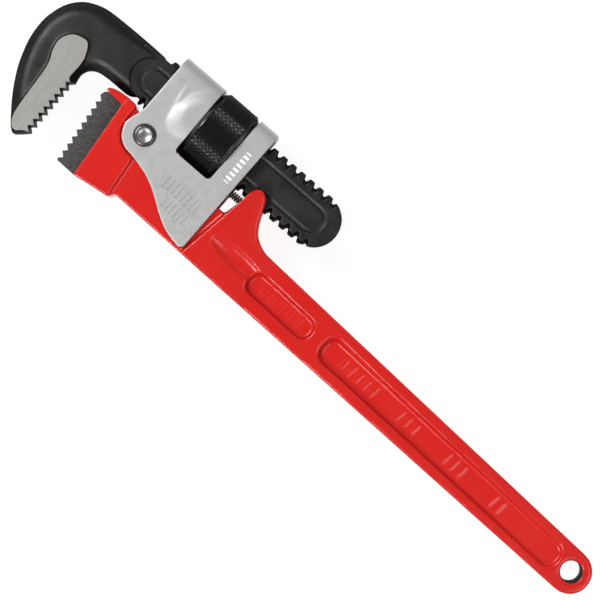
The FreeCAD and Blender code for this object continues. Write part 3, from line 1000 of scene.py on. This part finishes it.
# %% Frame: outline, window, stamped bars and spring tab
def trim_sheet(sheet):
    low = [grip(*p) for p in [(1, -9.2), (5, -9.9), (10, -11.1), (15, -13.1), (20, -15.9), (25, -19.0),
                              (30, -21.5), (35, -22.9), (39.5, -23.4)]]
    eye = [at(9.2 * math.cos(a), 9.2 * math.sin(a)) for a in (math.radians(d) for d in range(180, 271, 10))]
    waist = [at(-7.2, 34.5), at(-7.2, 8.5), at(-7.5, 5.8), at(-8.5, 3)]
    right = [at(40.4, -23.3), at(40.4, 33.5), at(39.4, 40), at(-6.2, 40)]
    combine(sheet, thicken(outline("blank", waist + eye + flow(low, 2) + right), -20, 20), "INTERSECT")
    corners = [at(12.9, 2.95), at(30.7, 2.95), at(31.3, 50), at(12.2, 50)]
    window = round_corners(outline("window", corners), 1.6, 6)
    forge(sheet, 0.42, 4)
    combine(sheet, thicken(window, -30, 30))
    combine(sheet, rod("rivet_hole", 3.56, at(0, 0, -20), at(0, 0, 20)))
    stamps = [(u, -7.4, 2.6) for u in (18.6, 23.2, 27.8, 32.4)] + [(u, -14.0, 2.2) for u in (23.4, 27.6, 31.8)]
    marks = []
    for u, v, half in stamps:
        for x0, x1, y0, y1 in ((0, 0.8, -half, half), (2.2, 3.0, -half, half), (1.3, 1.9, -half, 0.2 - half)):
            corners = [grip(u + x0, v + y0), grip(u + x1, v + y0),
                       grip(u + x1, v + y1), grip(u + x0, v + y1)]
            marks.append(thicken(outline("stamp", corners), 12.15, 14))
            marks.append(thicken(outline("stamp", corners), -14, -12.15))
    combine(sheet, melt_in(marks[0], marks[1:]))
    tab = box("spring_tab", (34.2, 36.2), (2.9, 7.3), (6.9, 10.8))
    soften(tab, 0.4, 3)
    combine(sheet, tab, "UNION")
    return smooth_shading(sheet, 50)


trim_sheet(sheet)
wear_finish(sheet, SHEET, "frame_body", "plated_sheet", "frame")

# %% [markdown]
# ## Bright rivet steel
# The rivet's head is bright and closed by a tool. Its rim looks dark round the dimple from what it reflects. The
# ring could be a piece of its own, but it is painted shade, a dark reflection in the colour: the distance from the
# rivet's axis makes a mask for it.

# %% Bright rivet steel
def rivet_steel():
    finish, tree, shader = start_finish("rivet_steel")
    place = add_node(tree, "ShaderNodeTexCoord")
    away = add_node(tree, "ShaderNodeVectorMath", operation="SUBTRACT")
    away.inputs[1].default_value = PIVOT
    tree.links.new(place.outputs["Object"], away.inputs[0])
    flat = add_node(tree, "ShaderNodeVectorMath", operation="MULTIPLY")
    flat.inputs[1].default_value = (1, 1, 0)
    tree.links.new(away.outputs[0], flat.inputs[0])
    radius = add_node(tree, "ShaderNodeVectorMath", operation="LENGTH")
    tree.links.new(flat.outputs[0], radius.inputs[0])
    ring = add_node(tree, "ShaderNodeMapRange")
    for key, value in (("From Min", 2.6 * MM), ("From Max", 3.4 * MM)):
        ring.inputs[key].default_value = value
    tree.links.new(radius.outputs["Value"], ring.inputs["Value"])
    tone = blend(tree, effect(tree, CLOUDS, Scale=500.0), (0.36, 0.352, 0.335), (0.44, 0.43, 0.41))
    # painted shade: the rim outside the dimple is painted dark, standing in for the dark reflection there
    rim_painted_dark = blend(tree, ring.outputs["Result"], tone, (0.10, 0.098, 0.092))
    tree.links.new(rim_painted_dark, shader.inputs["Base Color"])
    rough = blend(tree, effect(tree, CLOUDS, Scale=900.0), 0.26, 0.36, colour=False)
    tree.links.new(rough, shader.inputs["Roughness"])
    shader.inputs["Metallic"].default_value = 1.0
    relief(tree, shader, effect(tree, GRAIN, Fine_Scale=1500.0, Broad_Scale=400.0), 0.1, 0.00005)
    return finish


RIVET_STEEL = rivet_steel()
print(RIVET_STEEL.name, "ready")

# %% [markdown]
# ## The pivot rivet
# The rivet holds both plates of the frame to the head's tongue and is the pin that the frame swings on. It is
# round all through, so half of its section is drawn once and spun about its axis, as on a lathe.

# %% Pivot rivet
def make_rivet():
    face = 12.6
    profile = [(0, face + 0.55), (1.2, face + 0.6), (2.2, face + 0.8), (2.8, face + 1.08), (3.4, face + 1.05),
               (4.2, face + 0.85), (4.58, face + 0.35), (4.58, face), (3.5, face)]
    profile += [(r, -z) for r, z in reversed(profile)]
    rivet = draw_line("frame_rivet", [at(r, 0, z) for r, z in profile])
    bpy.ops.mesh.spin(steps=64, angle=math.tau, center=PIVOT, axis=(0, 0, 1))
    bpy.ops.mesh.select_all(action="SELECT")
    bpy.ops.mesh.remove_doubles(threshold=1e-6)
    soften(close_up(rivet), 0.2, 2, 40)
    return smooth_shading(rivet, 60)


wear_finish(make_rivet(), RIVET_STEEL, "handle_body", "bright_steel", "pivot_rivet")

# %% [markdown]
# ## Spring steel
# Both springs are tempered, which turns steel a dark straw brown. The colour drifts between two browns along
# the wire, and the surface is half glossy from the oil that it was quenched in.

# %% Spring steel
def spring_steel():
    finish, tree, shader = start_finish("spring_steel")
    clouds = effect(tree, CLOUDS, Scale=400.0, Sharpness=0.5)
    brown = blend(tree, clouds, (0.05, 0.034, 0.027), (0.12, 0.088, 0.07))
    tree.links.new(brown, shader.inputs["Base Color"])
    tree.links.new(blend(tree, clouds, 0.32, 0.5, colour=False), shader.inputs["Roughness"])
    shader.inputs["Metallic"].default_value = 0.7
    relief(tree, shader, effect(tree, GRAIN, Fine_Scale=2500.0, Broad_Scale=600.0), 0.2, 0.0001)
    return finish


SPRING_STEEL = spring_steel()
print(SPRING_STEEL.name, "ready")

# %% [markdown]
# ## The coil spring
# A coil spring keeps the frame pushed against the shank. It is wound from round wire, so it is made the same
# way: a small circle is the wire's section, and a Screw modifier winds it. A curve with a round bevel would
# do as well, but the Screw gives the pitch in plain numbers. Both ends of the wire are then closed.

# %% Coil spring
def make_coil():
    """Round wire swept along a helix, from the frame's tab into the handle's seat."""
    fresh()
    wire, radius, pitch, length = 0.35, 1.35, 1.05, 17.3
    start = at(36.65, 5.07, 8.6)
    bpy.ops.mesh.primitive_circle_add(vertices=12, radius=wire * MM,
                                      location=start + Vector((0, radius * MM, 0)))
    coil = name_it("coil_spring_wire")
    work_on(coil)
    bpy.ops.object.transform_apply(location=False, rotation=True, scale=True)
    bpy.context.scene.cursor.location = start
    bpy.ops.object.origin_set(type="ORIGIN_CURSOR")
    modify(coil, "SCREW", axis="X", angle=math.tau, screw_offset=pitch * MM, iterations=int(length / pitch),
           steps=20, render_steps=20, use_merge_vertices=True, merge_threshold=1e-6)
    bpy.context.scene.cursor.location = (0, 0, 0)
    settle(coil)
    edit(coil, everything=False)
    pick(coil, lambda place, edge: len(edge.link_faces) == 1, "edges")
    bpy.ops.mesh.edge_face_add()
    return smooth_shading(close_up(coil), 50)


wear_finish(make_coil(), SPRING_STEEL, "handle_body", "spring_steel", "coil_spring")

# %% [markdown]
# ## The leaf spring and its rivet
# A bent strip inside the frame's back steadies the shank, and a small rivet holds it to the web. The strip is
# drawn from the side as one thin outline, because its bends are what matters. The rivet is a head and a shaft
# joined together.

# %% Leaf spring and its rivet
def make_leaf():
    web = 32.6
    under = [at(-6.6, web - 1.5), at(-4.2, web - 1.0), at(-1.8, web - 0.72), at(3.6, web - 0.72),
             at(7.5, web - 1.15), at(11.4, web - 1.85)]
    over = [p + Vector((0, 0.65 * MM, 0)) for p in reversed(under)]
    leaf = thicken(outline("leaf_spring_strip", under + over), -5, 5)
    soften(leaf, 0.15, 2, 50)
    return smooth_shading(leaf, 40)


def make_leaf_rivet():
    rivet = rod("leaf_rivet_head", 2.2, at(1, 31.3), at(1, 31.9), 32)
    combine(rivet, rod("shaft", 1.18, at(1, 31.8), at(1, 34.58), 32), "UNION")
    soften(rivet, 0.2, 3, 50)
    return smooth_shading(rivet, 40)


wear_finish(make_leaf(), SPRING_STEEL, "frame_body", "spring_steel", "leaf_spring")
wear_finish(make_leaf_rivet(), SPRING_STEEL, "frame_body", "spring_steel", "leaf_spring_rivet")

# %% [markdown]
# ## The camera
# The tool lies flat and is seen from straight above, with the grip running down to the right. The camera
# stands 1.2 m away with a long lens, so the walls of holes and teeth show a little and the outline stays true.

# %% Camera
def place_camera(far=1.2, view_width=0.2372, sensor=36):
    turn = math.radians(42.6) - TILT
    right = Vector((math.cos(turn), math.sin(turn), 0))
    up = Vector((-math.sin(turn), math.cos(turn), 0))
    middle = PIVOT + right * 0.0613 - up * 0.0650
    bpy.ops.object.camera_add(location=(middle.x, middle.y, PIVOT.z + 0.010 + far), rotation=(0, 0, turn))
    camera = bpy.context.object
    camera.data.sensor_width = sensor
    camera.data.lens = sensor * far / view_width
    bpy.context.scene.camera = camera
    return camera


camera = place_camera()
print("camera", tuple(round(c, 4) for c in camera.location), "lens", round(camera.data.lens, 1))

# %% [markdown]
# ## The floor
# A small product is often shown on a light table, which is why nearly no shadow lies beside it. The floor is
# a dull plane that also glows. It could be pure white paper, but then the lamps would have to be so strong
# that they bleach the tool.

# %% Floor
def make_floor():
    fresh()
    bpy.ops.mesh.primitive_plane_add(size=4, location=(0, 0, -0.0002))
    floor = name_it("floor")
    paper, tree, shader = start_finish("light_table")
    tree.links.new(blend(tree, effect(tree, CLOUDS, Scale=3.0), (0.15, 0.15, 0.15), (0.17, 0.17, 0.17)),
                   shader.inputs["Base Color"])
    shader.inputs["Roughness"].default_value = 0.9
    shader.inputs["Emission Color"].default_value = (1, 1, 1, 1)
    shader.inputs["Emission Strength"].default_value = 0.9
    floor.data.materials.append(paper)
    settle(floor)
    return floor


count(make_floor())

# %% [markdown]
# ## Lamps and room light
# Four large soft lamps stand round the tool: a key from the hook's side, a weaker one from the grip's end,
# and two across it that light the knurl. The room is brighter near the horizon than overhead, so flat faces
# stay calm and rounded edges get a thin light rim.

# %% Lamps and room
LAMPS = (("key", (-0.8, 0.0, 1.05), 0.45, 8.2), ("right", (0.7, 0.0, 1.15), 0.6, 3.4),
         ("back", (-0.1, 0.75, 0.95), 0.6, 0.5), ("low", (-0.1, -0.75, 0.9), 0.4, 6))


def hang_lamp(name, place, size, power):
    bpy.ops.object.light_add(type="AREA", location=place)
    lamp = bpy.context.object
    lamp.name = name
    lamp.data.size = size
    lamp.data.energy = power
    lamp.rotation_euler = (-Vector(place)).to_track_quat("-Z", "Y").to_euler()


def light_room():
    world = bpy.data.worlds.new("studio")
    world.use_nodes = True
    tree = world.node_tree
    split = add_node(tree, "ShaderNodeSeparateXYZ")
    tree.links.new(add_node(tree, "ShaderNodeTexCoord").outputs["Generated"], split.inputs["Vector"])
    ceiling = add_node(tree, "ShaderNodeMapRange")
    for key, value in (("From Min", 0.55), ("From Max", 0.97), ("To Min", 0.32), ("To Max", 0.12)):
        ceiling.inputs[key].default_value = value
    tree.links.new(split.outputs["Z"], ceiling.inputs["Value"])
    tree.links.new(ceiling.outputs["Result"], tree.nodes["Background"].inputs["Strength"])
    tree.nodes["Background"].inputs["Color"].default_value = (1, 1, 1, 1)
    bpy.context.scene.world = world
    bpy.context.scene.view_settings.view_transform = "Standard"


for lamp in LAMPS:
    hang_lamp(*lamp)
light_room()
print("lamps", [name for name, *_ in LAMPS])
